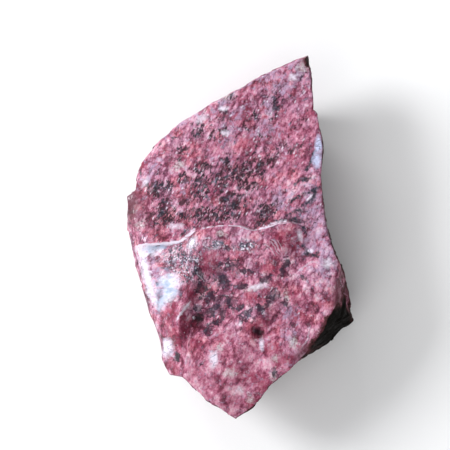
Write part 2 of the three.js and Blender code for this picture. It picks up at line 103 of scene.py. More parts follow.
PATCHES = {
    "blotches": [
        (13.5, 38.5, 1, 1.8), (21.7, 46.8, 0.6, 0.8), (-22.8, -15.4, 0.5, 0.8), (-10.4, -25.6, 1.1, 1),
        (-0.6, -10.8, 2.8, 1.6), (4.6, -12.2, 2.4, 0.8), (-1.7, -16, 1.9, 1.6), (-8.3, -17, 2, 2.2),
        (-3.3, -23.6, 2.2, 3.9), (0.1, -21.3, 2.2, 2.1), (4.8, -24.9, 2.1, 2.3), (9.4, -22.9, 1.9, 1.1),
        (12.2, -20.8, 1.6, 1), (-4.6, -25.4, 1.6, 1.4), (13, -19.4, 2.6, 1.8), (11, -14.5, 2, 1.1, 10),
        (16.1, -12.6, 1.6, 1.2), (16.4, -21.1, 1.1, 1.4), (16.8, -10.6, 1.1, 1.5), (18.6, -28.2, 0.8, 1),
        (-7.3, -28.9, 1.2, 1.6), (13, -42.3, 0.9, 1.6), (-10.2, -22.8, 1.6, 1.4), (-0.3, -5.6, 2, 1.2),
        (-3, -13.5, 2.2, 1.4), (22, -14.5, 1.1, 0.9), (-6.6, -24.6, 2, 1.5), (-16.8, -37.4, 0.9, 1.3),
        (-6.4, -20, 2, 2), (3.6, -16.8, 1.6, 1), (-9, -12.5, 1, 2, 10),
    ],
    "pits": [(-10.3, -25.7, 1.4, 1.3), (7.9, -30, 1.5, 1.1, -30), (-16.6, -37.4, 0.6, 1.1)],
    "white": [
        (-1.8, 30.6, 1.2, 0.8), (29.4, -10.4, 1.1, 1.3), (21.3, -1.9, 0.6, 1.4),
        (8.4, -16.6, 2.2, 0.5, 10), (19.2, 47.1, 1.2, 0.9), (2.9, -27.8, 0.5, 0.7),
        (-27, 16.4, 1, 1.4, -20), (-9.5, 35.6, 1.7, 1, 20), (-2.4, 38.4, 1.4, 0.7), (-17, 2.2, 2, 0.8),
        (-11, -3.3, 1.6, 1.2, 45),
    ],
    # Clear quartz patches, which are partly painted reflections.
    "clear_quartz_and_reflection": [
        (26.9, 25.6, 1, 2.6, 5), (26.4, 21, 1.3, 2.2), (-20.9, -34, 2.7, 2.4), (-5, -38.1, 1.2, 2.2, -12),
        (-11, -3.3, 1, 0.7, 45), (24.3, -6.4, 0.9, 0.5), (9.2, -33.8, 0.6, 1.9, 5),
    ],
    "cream": [
        (22.3, 50.2, 1.8, 1.6), (-3.1, -34.9, 0.9, 1.1), (18.5, -33.4, 1.2, 1.5), (13.2, -38.1, 1, 1),
        (12.4, -42.9, 0.9, 1.6), (-0.5, -42.3, 1.6, 1), (7.2, -17.2, 2.8, 0.8, 10), (17, -20.2, 0.6, 1.8),
        (-1.1, 42.2, 1.8, 0.8, 20), (-28.1, 3.1, 1.5, 1.2), (5.3, -50, 1, 1), (-2.1, -0.9, 1.4, 0.8),
        (-16.4, 20.8, 2, 1.2, 30),
    ],
    "lilac": [
        (-24.3, -10, 1.4, 4, 10), (19.8, 47.2, 2.2, 1.8), (26, -6, 3.4, 3), (28, -12, 3, 4),
        (17.8, -25, 2, 2), (17.7, -31.2, 2, 2), (29, -9.7, 4, 5.5), (23.5, -4, 3.4, 4),
        (21.5, 47, 4, 3, 20), (-25, 19.2, 2.4, 4.6, -20), (15.4, 9, 3, 2.4), (26, 3.5, 3.4, 3.6),
        (25, 10, 3.2, 4.4), (5, 46, 7, 1.2, 26), (3, 37, 2.4, 2, 20), (8, 30, 2.4, 1.6),
        (11.8, 47.8, 4, 1.6, 25), (12.4, 38, 1.8, 2.6), (-2, 40, 3, 1.4, 30), (27, -1, 3.4, 3),
        (0, 30.5, 3.4, 2.6), (16, 44, 3.8, 3, 20), (-14.1, 15.2, 2, 2), (12.1, 31.5, 2.4, 2.6),
        (20.7, 52, 3, 1.4, 25), (-14, 36.4, 8, 1.6, 33),
    ],
    "crimson_and_shade": [
        # The patches on the flank and by the ridge, around x -18 to -13 mm and y -34 to -23 mm, are
        # partly painted shade.
        (-17.6, -27, 3.4, 5.4, -15), (-14.2, -29, 2.6, 4.4, -20), (-16, -33.4, 2.6, 3),
        (17, -3.9, 5, 3.6), (-6, -9.6, 3.4, 3), (-11.4, -17.4, 1.8, 3.6, -8), (-16.6, -23, 1.8, 2.4),
        (-13.6, -29.5, 1.4, 3, -20), (3.8, 37, 2.4, 3.4), (-27.3, 22.1, 1.5, 1.5), (8, -29.6, 3.2, 2.4),
        (-2.4, -31.2, 3.2, 2), (-18.1, -41.6, 2, 2.2), (-28.4, 14.6, 1.6, 2.4), (5.6, -51, 2, 1.4),
        (0.8, -12.4, 1.6, 1.4), (12.9, -34.6, 2, 1.6), (6.2, -20.4, 2.2, 1.6), (0.3, -41.4, 1.8, 1.6),
        (18.5, 22.3, 2.2, 2), (25, 36, 1.4, 2.2), (-3.8, -7.2, 1.6, 1.4), (-19.6, -39, 2, 2.2),
        (12.6, -13, 3.2, 2.6), (10.6, -19, 3, 2.4), (9.2, -45.2, 2.2, 1.8), (-11.9, -33.2, 2.4, 2.4),
        (5.8, -43, 2.4, 1.8), (-5.2, -11, 2, 2.2), (-6.3, -20, 2, 1.6), (19.6, -26.6, 2, 1.8),
        (19.1, -20, 2, 1.6), (15.1, -38, 2.6, 2.2), (20, 41, 2, 2.4), (14, 29, 2.6, 2),
        (5.9, 27.5, 3, 2.2),
    ],
    # Bluish patches of the painted reflection on the polished flank.
    "blue_reflection": [(-19.8, -16.2, 3.4, 3.4), (-21.7, -20.6, 1.8, 2.6, -20), (-23.6, -4.2, 3, 0.8, 10)],
}

# Brush strokes are x, y, half width in mm.
# The dark skin carried over the rim at the black corner, partly painted shade.
SKIN_AND_SHADE_OVER_RIM = [
    [(32, -26.4, 2.4), (30.4, -29.2, 2.9), (28.3, -32, 2.3), (24.9, -35, 1.8)],
]
STAINS_AND_RIM_SHADE = [
    [(32, -15.5, 0.5), (31.6, -19, 1.2), (31.6, -22.4, 1.4)],
    [(20.2, -37, 1.2), (23.4, -34.2, 0.8)],
    [(-31.4, 12.4, 2.6), (-30.9, 9.6, 2.8), (-31.2, 5.6, 2.2)],
    [(24.6, 53.6, 2.4), (22.2, 52.2, 1.2)],
    # This stroke darkens the bevel of the right rim: painted shade.
    [(27.8, 10, 0.4), (29.2, 5, 0.8), (30.4, 0, 0.9), (31.8, -4.6, 0.6)],
]
# Painted light on the upper-left rim, which faces the light.
PAINTED_RIM_LIGHT = [
    [(-26.7, 24.3, 0.9), (-19.7, 30.5, 1.1), (-14.6, 33.9, 1), (-9.2, 37.5, 0.9), (-3.8, 40.6, 0.7)],
]
DARK_VEINS = [
    [(19.6, 13.4, 0.4), (21, 14.7, 0.6), (22.5, 15.1, 0.7), (24.4, 15.4, 0.5)],
    [(23, 17.6, 0.4), (24.2, 19.4, 0.5), (24.9, 21.4, 0.4)],
    [(18.4, 8.1, 0.3), (20.1, 9.6, 0.4), (21.8, 10.2, 0.4), (24.4, 11.2, 0.6), (27, 12.3, 0.75)],
    [(22.2, 7, 0.65), (23.3, 7.8, 0.75), (25, 9.2, 0.7), (26.3, 11.2, 0.5)],
    [(25.1, 22, 0.3), (25.7, 23.5, 0.35), (26.6, 23.9, 0.28), (27.8, 24.9, 0.3)],
    [(17.4, 4.4, 0.3), (19.2, 5, 0.45), (21, 5.8, 0.5), (23.2, 5.1, 0.35)],
    [(7.7, 0.9, 0.3), (10.2, 1.7, 0.4), (13.8, 2.5, 0.3), (17.4, 3, 0.7), (20, 2.7, 1), (23.2, 2.4, 0.8)],
    [(22.2, 1, 0.45), (22.5, 0.1, 0.5), (22.8, -0.9, 0.35)],
    [(22, -5, 0.6), (22.9, -6.2, 0.7), (23.6, -7.6, 0.6), (26.2, -7.9, 0.6), (26.8, -6.9, 0.4)],
    [(29.1, 4.6, 0.5), (29.6, 1.5, 0.3)],
    [(29.8, -1.6, 0.5), (31, -5, 0.6)],
    [(-9.7, -8, 0.5), (-9.9, -11, 0.55), (-11.6, -14.2, 0.45)],
    [(-11.9, 1.8, 0.3), (-13.4, 0.7, 0.5), (-15.2, -0.7, 0.3)],
    [(-32, 7.2, 0.5), (-30.2, 7.4, 0.4)],
    [(-28.9, 21.2, 0.4), (-28.4, 19.2, 0.5)],
]
# Painted glints: pale strokes along edges that catch the light, and a dot in a pit.
EDGE_GLINTS = [
    [(-16, -26.9, 0.2), (-14.7, -24.8, 0.3), (-13.4, -22.8, 0.28), (-12, -20.8, 0.16)],
    [(-15.5, -2.2, 0.2), (-13.4, -1, 0.3), (-11.8, 0.2, 0.5), (-10.8, 1.2, 0.2)],
    [(23.3, 8.6, 0.2), (24.3, 9.6, 0.32), (25, 10.5, 0.2)],
    [(-11.6, -25.3, 0.26), (-11.4, -25.6, 0.26)],
    [(9.5, 0.7, 0.2), (13.6, 1.9, 0.26), (17, 2.6, 0.3)],
]
# The polished flank: real gloss, with a painted reflection of the key light in its colour.
POLISH_AND_REFLECTION = [
    [(-29, -4.2, 1.3), (-26.7, -4.6, 1.8), (-24.2, -4.4, 1.8), (-21.9, -3.8, 1.3), (-20.6, -3, 0.6)],
    [(-20.6, -3, 0.6), (-16.2, -2.7, 0.5), (-14, -1.6, 0.5), (-12, 0, 0.6), (-10.8, 0.9, 0.4)],
    [(-28.3, -4.8, 1.4), (-27.4, -9.4, 1.6), (-26.2, -13.6, 1.9), (-24.9, -18.2, 1.7), (-23.6, -21.2, 1)],
    [(-20.6, -14.6, 1.5), (-18, -15, 2.1), (-18.8, -17.6, 2.1), (-21.8, -21.6, 1.2)],
]

# Broader zones of the stone, as ovals too.
INLAND = [(-2, -14, 22, 24)]  # where even a steep place belongs to the broad face
LOW_END = [(1, -44, 20, 12)]  # the lower end of the face, with softer and plainer grain
FLANK = [(-22, -16, 9, 20, -12), (-20, -35, 6, 8)]  # where the face turns down to the left
LONG_GRAINS = [FLANK[0], (-20, -35, 7, 9)]  # where its grains are longer
LIP_GAP = [(-9.7, 1.1, 0.9, 1.2)]  # a gap in the white line on the lip of the ledge, a painted highlight
BARE_SPOT = [(-21.7, -18.5, 0.9, 0.9)]  # pink in the middle of the painted reflection on the polished flank
BLACK_TIP = [(24.6, 52.9, 1.6, 2.7, -10)]
# Ovals in space, as middle and reach: the dark corner and the right strip, both partly painted shade.
BLACK_CORNER = ((30, -30, 20), (10, 9, 16))
RIGHT_STRIP = ((33, -17.5, 26), (4, 6.5, 11))

# How thick the weathered skin and its painted shade are, up to 1.
WALL_SKIN_AND_SHADE = 0.58
CORNER_SKIN_AND_SHADE = 0.56  # more of it at the black corner, which also lies in shade
STRIP_SKIN_AND_SHADE = -0.14  # and less on the right strip, where it is a thin film of painted shade
UNDER_SKIN_AND_SHADE = 0.42
WALL_TOWARDS = -22  # where the wall with the skin and painted shade faces, away from the key light, in degrees

# Pale threads: centre x, y, radius, direction, half span (degrees), width, in mm.
THREADS = [
    (25.2, -14.6, 4.6, 112, 42, 0.36),
    (28.4, -4.6, 6.2, 282, 30, 0.3),
    (9.6, -8.6, 4.4, 40, 34, 0.3),
    (9.8, -8.4, 5.3, 36, 30, 0.26),
    (9.6, -8.8, 6.4, 38, 24, 0.3),
    (9.4, -9.2, 7.6, 34, 18, 0.26),
    (14.6, -29.6, 8.6, 340, 24, 0.34),
    (10.2, -21.8, 4.8, 96, 34, 0.5),
    (9, -13.2, 4.2, 262, 28, 0.42),
    (-12, -17, 4.6, 45, 24, 0.26),
    (-4.5, -0.8, 4.6, 262, 40, 0.3),
]

# Relief of the broken surface, in mm: the inputs of its tree.
RELIEF = {
    "Face facet size": 2.6,
    "Face facet depth": 0.26,
    "Side facet size": 5.2,
    "Side facet depth": 1.1,
    "Grain size": 1.5,
    "Grain depth": 0.22,
}

# Sizes of the grains and spots in the colour, in mm.
FINE_GRAIN = 0.95
MEDIUM_GRAIN = 1.7
ROUND_GRAIN = 2.7
PINK_CLOUD = 3.4
SPECK = 0.95
BLOTCH = 1.5
SALT_GRAIN = 0.44
SLIVER = 0.5
# How they are drawn out: in which direction of the broad face, in degrees, and how much.
FACE_GRAIN = (64, 1.7)
BLOCK_GRAIN = (84, 1.2)
SLIVER_GRAIN = (58, 2.4)
CLEAR_GRAIN = (20, 2.0)
WANDER = 1.8  # how far a pattern that wanders is moved at most, in mm


# ---- Small helpers ----
def smoothstep(value, low, high):
    t = np.clip((value - low) / (high - low), 0, 1)
    return t * t * (3 - 2 * t)


def in_metres(points):
    return np.array(points, float) * MM


def oval_distance(xyz, middle, reach):
    """1 on the rim of that oval in space, less inside, in mm. The rim wanders in and out."""
    x, y, z = ((xyz - middle) / reach).T
    wave_x, wave_y, wave_z = (xyz / 3.1).T
    wander = np.sin(wave_x + 0.8 * wave_z) + np.sin(1.3 * wave_y - wave_z + 1.1)
    wander += np.sin(1.7 * wave_z + wave_x - wave_y)
    return np.sqrt(x**2 + y**2 + z**2) + 0.13 * wander


def line_distance(xy, line):
    """Distance of each point from an open line, above zero on its left, and the foot there."""
    best = np.full(len(xy), np.inf)
    signed = np.zeros(len(xy))
    foot = np.zeros((len(xy), 2))
    for a, b in zip(line[:-1], line[1:]):
        edge = b - a
        t = np.clip(((xy - a) @ edge) / (edge @ edge), 0, 1)
        nearest = a + t[:, None] * edge
        off = xy - nearest
        far = np.hypot(off[:, 0], off[:, 1])
        closer = far < best
        side = np.sign(edge[0] * off[:, 1] - edge[1] * off[:, 0])
        best = np.where(closer, far, best)
        signed = np.where(closer, side * far, signed)
        foot = np.where(closer[:, None], nearest, foot)
    return signed, foot


def patches(xy, places):
    """0.5 on the rims of those ovals, more inside."""
    x, y = xy.T / MM
    best = np.full(len(xy), -4.0)
    for middle_x, middle_y, reach_x, reach_y, *turn in places:
        angle = math.radians(sum(turn))
        c, s = math.cos(angle), math.sin(angle)
        along = (c * (x - middle_x) + s * (y - middle_y)) / reach_x
        across = (c * (y - middle_y) - s * (x - middle_x)) / reach_y
        best = np.maximum(best, 1 - 0.5 * np.hypot(along, across))
    return best


def strokes(xy, lines):
    """0.5 on the rims of those brush strokes, more inside."""
    best = np.full(len(xy), -4.0)
    for line in lines:
        for start, end in zip(line[:-1], line[1:]):
            a, b = in_metres(start[:2]), in_metres(end[:2])
            edge = b - a
            t = np.clip(((xy - a) @ edge) / (edge @ edge), 0, 1)
            far = np.hypot(*(xy - a - t[:, None] * edge).T) / MM
            width = start[2] + t * (end[2] - start[2])
            best = np.maximum(best, 1 - 0.5 * far / width)
    return best


def linked(obj):
    bpy.context.scene.collection.objects.link(obj)
    return obj


# ---- Camera, light and floor ----
VIEW_FROM = Vector((0.185, -0.156, 0.970)).normalized()  # steeply down, from the front right
VIEW_CENTRE = Vector((-1.4, 1.95, 31.0)) * MM
VIEW_DISTANCE = 480 * MM
VIEW_WIDTH = 135 * MM  # what the frame takes in at the stone
SENSOR_WIDTH = 36
FLOOR_REACH = 1.5


def add_camera():
    data = bpy.data.cameras.new("camera")
    data.sensor_width = SENSOR_WIDTH
    data.lens = SENSOR_WIDTH * VIEW_DISTANCE / VIEW_WIDTH
    camera = linked(bpy.data.objects.new("camera", data))
    right = Vector((0, 1, 0)).cross(VIEW_FROM).normalized()
    up = VIEW_FROM.cross(right)
    camera.matrix_world = Matrix((right, up, VIEW_FROM)).transposed().to_4x4()
    camera.location = VIEW_CENTRE + VIEW_FROM * VIEW_DISTANCE
    bpy.context.scene.camera = camera


def add_window(name, direction, size, watts, distance=1.0, colour=(1, 1, 1)):
    """A soft rectangular light that faces the stone from that direction."""
    data = bpy.data.lights.new(name, "AREA")
    data.shape = "RECTANGLE"
    data.size, data.size_y = size
    data.energy = watts
    data.color = colour
    light = linked(bpy.data.objects.new(name, data))
    towards = Vector(direction).normalized()
    light.location = towards * distance
    light.rotation_euler = towards.to_track_quat("Z", "Y").to_euler()


def add_studio():
    add_window("key_window", (-0.75, 0.27, 0.61), (0.42, 0.42), 8.6, colour=(0.97, 0.98, 1.0))
    add_window("back_strip", (-0.26, 0.86, 0.43), (0.50, 0.12), 2.8)
    add_window("overhead", (0.1, -0.45, 1.0), (1.2, 1.2), 4.4, distance=1.4, colour=(1.0, 0.99, 0.98))
    add_window("front_fill", (-0.35, -0.8, 0.75), (0.9, 0.9), 3.2, distance=1.3, colour=(1.0, 0.98, 0.98))
    world = bpy.data.worlds.new("studio")
    bpy.context.scene.world = world
    world.use_nodes = True
    background = world.node_tree.nodes["Background"]
    background.inputs["Color"].default_value = (0.95, 0.97, 1.0, 1)
    background.inputs["Strength"].default_value = 0.38
    bpy.context.scene.view_settings.view_transform = "Standard"


def new_material(name):
    """A material, and its shader."""
    material = bpy.data.materials.new(name)
    material.use_nodes = True
    return material, material.node_tree.nodes["Principled BSDF"]


def add_floor():
    mesh = bpy.data.meshes.new("floor")
    corners = [(x * FLOOR_REACH, y * FLOOR_REACH, 0) for x, y in ((-1, -1), (1, -1), (1, 1), (-1, 1))]
    mesh.from_pydata(corners, [], [(0, 1, 2, 3)])
    floor = linked(bpy.data.objects.new("floor", mesh))
    material, shader = new_material("pale_floor")
    shader.inputs["Base Color"].default_value = (0.9, 0.9, 0.9, 1)
    shader.inputs["Roughness"].default_value = 0.9
    mesh.materials.append(material)


# ---- The stone's form ----
def baked(obj, name):
    """A plain mesh of obj with its modifiers applied. obj is then removed."""
    evaluated = obj.evaluated_get(bpy.context.evaluated_depsgraph_get())
    mesh = bpy.data.meshes.new_from_object(evaluated)
    mesh.name = name
    bpy.data.objects.remove(obj)
    return mesh


def smooth_form():
    """The solid's surface in quads, four times as fine each way, with its sharp edges kept."""
    bm = bmesh.new()
    bm.from_mesh(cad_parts[NODE].data)
    bmesh.ops.remove_doubles(bm, verts=bm.verts, dist=WELD)
    bmesh.ops.join_triangles(
        bm, faces=bm.faces, angle_face_threshold=QUAD_ANGLE, angle_shape_threshold=math.pi
    )
    crease = bm.edges.layers.float.new("crease_edge")
    for edge in bm.edges:
        if len(edge.link_faces) == 2 and edge.calc_face_angle() > SHARP_ANGLE:
            edge[crease] = SHARPNESS
    mesh = bpy.data.meshes.new("stone_form")
    bm.to_mesh(mesh)
    bm.free()
    form = linked(bpy.data.objects.new("stone_form", mesh))
    finer = form.modifiers.new("finer", "SUBSURF")
    finer.levels = finer.render_levels = FINE_LEVELS
    return baked(form, "stone_surface")


def vertex_array(mesh, what):
    values = np.empty(len(mesh.vertices) * 3)
    mesh.vertices.foreach_get(what, values)
    return values.reshape(-1, 3)


def sharpen_ledge(mesh):
    """Draws the surface in towards the ledge, so that the broken edge is steep and crisp."""
    co = vertex_array(mesh, "co")
    normals = vertex_array(mesh, "normal")
    off, foot = line_distance(co[:, :2], in_metres(LIP) + (0, RISER_MIDDLE * MM))
    on_face = smoothstep(co[:, 2], 24 * MM, 27 * MM) * smoothstep(normals[:, 2], -0.2, 0.2)
    near = 1 - smoothstep(np.abs(off), 0, LEDGE_REACH)
    runs_out = 1 - smoothstep(co[:, 0], 15 * MM, 21 * MM)
    pull = (1 - LEDGE_SQUEEZE) * near * on_face * runs_out
    co[:, :2] += (foot - co[:, :2]) * pull[:, None]
    mesh.vertices.foreach_set("co", co.ravel())
    mesh.update()


def add_value(mesh, name, values):
    layer = mesh.attributes.new(name, "FLOAT", "POINT")
    layer.data.foreach_set("value", values.astype(np.float32))


def add_mask(mesh, name, values):
    add_value(mesh, name, np.clip(values, 0, 1))


def add_mineral_masks(mesh, xy, above, lower):
    """Where each mineral is, and where light and shade are painted: above is the broad face, and lower
    what is below the ledge.
    """
    for name, places in PATCHES.items():
        add_mask(mesh, name, patches(xy, places) * above)
    specks = np.maximum(patches(xy, SPECK_CLUSTERS), 0.5 * patches(xy, FAINT_CLUSTERS))
    pale = np.maximum(patches(xy, PALE_PATCHES), strokes(xy, PAINTED_RIM_LIGHT))
    bare = np.clip(patches(xy, BARE_SPOT), 0, 1)
    add_mask(mesh, "specks", specks * above)
    add_mask(mesh, "salt", patches(xy, SALT_AND_PEPPER) * above * lower)
    add_mask(mesh, "pale", pale * above)
    add_mask(mesh, "dark_veins", strokes(xy, DARK_VEINS) * above)
    add_mask(mesh, "edge_glints", strokes(xy, EDGE_GLINTS) * above)
    add_mask(mesh, "polish_and_reflection", strokes(xy, POLISH_AND_REFLECTION) * above * lower * (1 - bare))
    add_mask(mesh, "low_end", patches(xy, LOW_END) * above)
    add_mask(mesh, "flank", patches(xy, FLANK) * lower)
    add_mask(mesh, "long_grains", patches(xy, LONG_GRAINS) * lower)


def add_lip_masks(mesh, xy, above, from_lip):
    """How far the lip of the ledge is, and where its white line runs: a painted highlight that is partly
    a white fracture line.
    """
    x = xy[:, 0] / MM
    gap = np.clip(2 * patches(xy, LIP_GAP), 0, 1)
    add_value(mesh, "lip_distance", np.clip(from_lip, -8, 8))
    add_mask(mesh, "lip_highlight_runs", smoothstep(x, -31, -29) * smoothstep(-x, -22, -17) * above * (1 - gap))


def add_skin_and_shade_masks(mesh, co, normal, inland):
    """Where the dark weathered skin and the painted shade are: on the right wall, turned from the key
    light, its corner, the tip and underneath.
    """
    xy = co[:, :2]
    towards = np.degrees(np.arctan2(normal[:, 1], normal[:, 0]))
    # The skin is partly painted shade: walls turned from the key light and undersides get it.
    to_right = smoothstep(np.cos(np.radians(towards - WALL_TOWARDS)), 0.1, 0.5)
    steep = (1 - smoothstep(normal[:, 2], 0.5, 0.72)) * (1 - inland)
    corner = 1 - smoothstep(oval_distance(co / MM, *BLACK_CORNER), 0.45, 1.25)
    strip = 1 - smoothstep(oval_distance(co / MM, *RIGHT_STRIP), 0.5, 1.3)
    wall = to_right * steep * (WALL_SKIN_AND_SHADE + CORNER_SKIN_AND_SHADE * corner + STRIP_SKIN_AND_SHADE * strip)
    over_rim = np.clip(strokes(xy, SKIN_AND_SHADE_OVER_RIM), 0, 1)
    tip = np.clip(patches(xy, BLACK_TIP), 0, 1)
    under = UNDER_SKIN_AND_SHADE * (smoothstep(-normal[:, 2], 0.1, 0.6) * (1 - inland))
    add_mask(mesh, "even_skin_and_shade", strip)
    add_mask(mesh, "skin_and_shade", np.maximum.reduce([wall, over_rim, tip, under]))
    add_mask(mesh, "stains_and_rim_shade", strokes(xy, STAINS_AND_RIM_SHADE) * smoothstep(co[:, 2] / MM, 14, 24))


def add_masks(mesh):
    """Where on the stone each kind of surface is, as attributes of its points."""
    co = vertex_array(mesh, "co")
    normal = vertex_array(mesh, "normal")
    xy = co[:, :2]
    z = co[:, 2] / MM
    inland = np.clip(4 * patches(xy, INLAND) - 1.5, 0, 1) * smoothstep(z, 20, 22)
    above = np.maximum(smoothstep(normal[:, 2], 0.25, 0.5) * smoothstep(z, 12, 18), inland)
    from_lip = line_distance(xy, in_metres(LIP))[0] / MM
    lower = smoothstep(-from_lip, -0.3, 0.8)
    add_mask(mesh, "broad_face", above)
    add_mask(mesh, "lower_block", lower * above)
    add_mineral_masks(mesh, xy, above, lower)
    add_lip_masks(mesh, xy, above, from_lip)
    add_skin_and_shade_masks(mesh, co, normal, inland)


# ---- Node trees ----
class Tree:
    """Adds nodes to a node tree, and links or sets their inputs."""

    def __init__(self, tree):
        self.tree = tree

    def link(self, value, socket):
        self.tree.links.new(value, socket)

    def add(self, kind, inputs=None, **settings):
        node = self.tree.nodes.new(kind)
        for name, value in settings.items():
            setattr(node, name, value)
        for key, value in (inputs or {}).items():
            socket = node.inputs[key]
            if isinstance(value, bpy.types.NodeSocket):
                self.link(value, socket)
            else:
                socket.default_value = value
        return node

    def math(self, operation, a, b=None, clamp=False):
        inputs = {0: a} if b is None else {0: a, 1: b}
        return self.add("ShaderNodeMath", inputs, operation=operation, use_clamp=clamp).outputs[0]

    def total(self, first, *others):
        for value in others:
            first = self.math("ADD", first, value)
        return first

    def times(self, first, *others):
        for value in others:
            first = self.math("MULTIPLY", first, value)
        return first

    def most(self, first, *others):
        for value in others:
            first = self.math("MAXIMUM", first, value)
        return first

    def rest(self, value):
        """What value leaves of 1."""
        return self.math("SUBTRACT", 1.0, value)

    def around(self, value, middle, amount):
        """How far value is from its middle, times amount."""
        return self.times(self.math("SUBTRACT", value, middle), amount)

    def vector(self, operation, a, b=None, scale=None):
        inputs = {0: a}
        if b is not None:
            inputs[1] = b
        if scale is not None:
            inputs["Scale"] = scale
        node = self.add("ShaderNodeVectorMath", inputs, operation=operation)
        return node.outputs["Value" if operation in ("DOT_PRODUCT", "LENGTH") else "Vector"]

    def inverse(self, size):
        return self.math("DIVIDE", 1.0, size) if isinstance(size, bpy.types.NodeSocket) else 1.0 / size

    def span(self, value, low, high, to_low=0.0, to_high=1.0):
        """value, carried smoothly from low..high to to_low..to_high."""
        inputs = {"Value": value, "From Min": low, "From Max": high, "To Min": to_low, "To Max": to_high}
        return self.add("ShaderNodeMapRange", inputs, interpolation_type="SMOOTHSTEP").outputs[0]

    def noise(self, place, size, detail=3.0, roughness=0.5, distortion=0.0):
        """Cloudy noise with features of about that size."""
        inputs = {"Vector": place, "Scale": self.inverse(size)}
        inputs |= {"Detail": detail, "Roughness": roughness, "Distortion": distortion}
        return self.add("ShaderNodeTexNoise", inputs).outputs[0]

    def wandering(self, place, scale, detail, reach):
        """place, moved by a slow noise."""
        noise = self.add("ShaderNodeTexNoise", {"Vector": place, "Scale": scale, "Detail": detail})
        return self.vector("ADD", place, self.vector("SCALE", noise.outputs["Color"], scale=reach))

    def facets(self, place, size):
        """Height of randomly tilted flat facets of about that size, from -0.5 to 0.5."""
        scaled = self.vector("SCALE", place, scale=self.inverse(size))
        cells = self.add("ShaderNodeTexVoronoi", {"Vector": scaled, "Scale": 1.0})
        tilt = self.vector("SUBTRACT", cells.outputs["Color"], (0.5, 0.5, 0.5))
        from_middle = self.vector("SUBTRACT", scaled, cells.outputs["Position"])
        return self.vector("DOT_PRODUCT", tilt, from_middle)


def new_group(name, kind, inputs, outputs):
    """A node group with named inputs (name, type, default) and outputs (name, type)."""
    group = bpy.data.node_groups.new(name, kind)
    for label, socket_type, default in inputs:
        socket = group.interface.new_socket(label, in_out="INPUT", socket_type=socket_type)
        if default is not None:
            socket.default_value = default
    for label, socket_type in outputs:
        group.interface.new_socket(label, in_out="OUTPUT", socket_type=socket_type)
    tree = Tree(group)
    return tree, tree.add("NodeGroupInput").outputs, tree.add("NodeGroupOutput").inputs


def shader_group(name, numbers, vectors=("Vector",), results=("Mask",)):
    """A shader group that takes those vectors and named numbers, and puts out numbers."""
    inputs = [(label, "NodeSocketVector", None) for label in vectors]
    inputs += [(label, "NodeSocketFloat", value) for label, value in numbers.items()]
    return new_group(name, "ShaderNodeTree", inputs, [(label, "NodeSocketFloat") for label in results])


# ---- Geometry Nodes: the grain of the broken surface ----
def relief_tree():
    """Moves the surface in and out, in millimetres, by tilted facets and by grain."""
    inputs = [("Geometry", "NodeSocketGeometry", None)]
    inputs += [(name, "NodeSocketFloat", value) for name, value in RELIEF.items()]
    inputs += [("Material", "NodeSocketMaterial", None)]
    outputs = [("Geometry", "NodeSocketGeometry")]
    tree, given, result = new_group("broken_surface", "GeometryNodeTree", inputs, outputs)
    place = tree.vector("SCALE", tree.add("GeometryNodeInputPosition").outputs[0], scale=1 / MM)
    place = tree.wandering(place, 0.3, 2.0, 2.2)
    broad_face, flank = (
        tree.add("GeometryNodeInputNamedAttribute", {"Name": name}, data_type="FLOAT").outputs[0]
        for name in ("broad_face", "flank")
    )

    on_face = tree.times(tree.facets(place, given["Face facet size"]), given["Face facet depth"])
    on_side = tree.times(tree.facets(place, given["Side facet size"]), given["Side facet depth"])
    grain = tree.noise(place, given["Grain size"], detail=3.0, roughness=0.6)
    grain = tree.around(grain, 0.5, given["Grain depth"])
    height = tree.total(on_face, tree.times(on_side, tree.rest(broad_face)), grain)
    height = tree.times(height, tree.span(flank, 0.3, 0.6, 1.0, 0.4))
    normal = tree.add("GeometryNodeInputNormal").outputs[0]
    push = tree.vector("SCALE", normal, scale=tree.times(height, MM))
    moved = tree.add("GeometryNodeSetPosition", {"Geometry": given["Geometry"], "Offset": push})
    smooth = tree.add("GeometryNodeSetShadeSmooth", {"Geometry": moved.outputs[0]})
    realized = tree.add("GeometryNodeRealizeInstances", {"Geometry": smooth.outputs[0]})
    dressed = {"Geometry": realized.outputs[0], "Material": given["Material"]}
    dressed = tree.add("GeometryNodeSetMaterial", dressed)
    tree.link(dressed.outputs[0], result["Geometry"])
    return tree.tree


def with_relief(mesh, material):
    """The mesh with the broken grain in its surface, kept inside the solid's box."""
    stone = linked(bpy.data.objects.new("stone", mesh))
    grain = stone.modifiers.new("broken surface", "NODES")
    grain.node_group = relief_tree()
    for socket in grain.node_group.interface.items_tree:
        if socket.in_out == "INPUT" and socket.name == "Material":
            grain[socket.identifier] = material
    finished = baked(stone, "stone")
    co = vertex_array(finished, "co")
    low, high = (np.array(corner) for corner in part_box(NODE))
    finished.vertices.foreach_set("co", np.clip(co, low, high).ravel())
    finished.update()
    return finished


# ---- Colours ----
def screen(r, g, b):
    """A colour given in 0..255 screen values, as the shader wants it."""
    linear = [((c / 255 + 0.055) / 1.055) ** 2.4 if c > 10 else c / 255 / 12.92 for c in (r, g, b)]
    return (*linear, 1.0)


# The pinks from dark to pale, where the stone is warm, ruddy and cool.
PINK_STEPS = (0.30, 0.42, 0.50, 0.58, 0.72)
WARM_TONES = ((72, 24, 44), (130, 56, 84), (178, 102, 130), (209, 139, 165), (236, 196, 211))
RUDDY_TONES = ((80, 24, 38), (136, 52, 72), (186, 94, 115), (218, 132, 149), (242, 192, 203))
COOL_TONES = ((62, 32, 54), (118, 70, 97), (170, 117, 146), (204, 156, 184), (230, 206, 226))
SALT_STEPS = (0.24, 0.42, 0.54, 0.66, 0.80)
SALT_TONES = ((16, 30, 40), (48, 80, 90), (126, 118, 138), (190, 184, 204), (242, 240, 250))
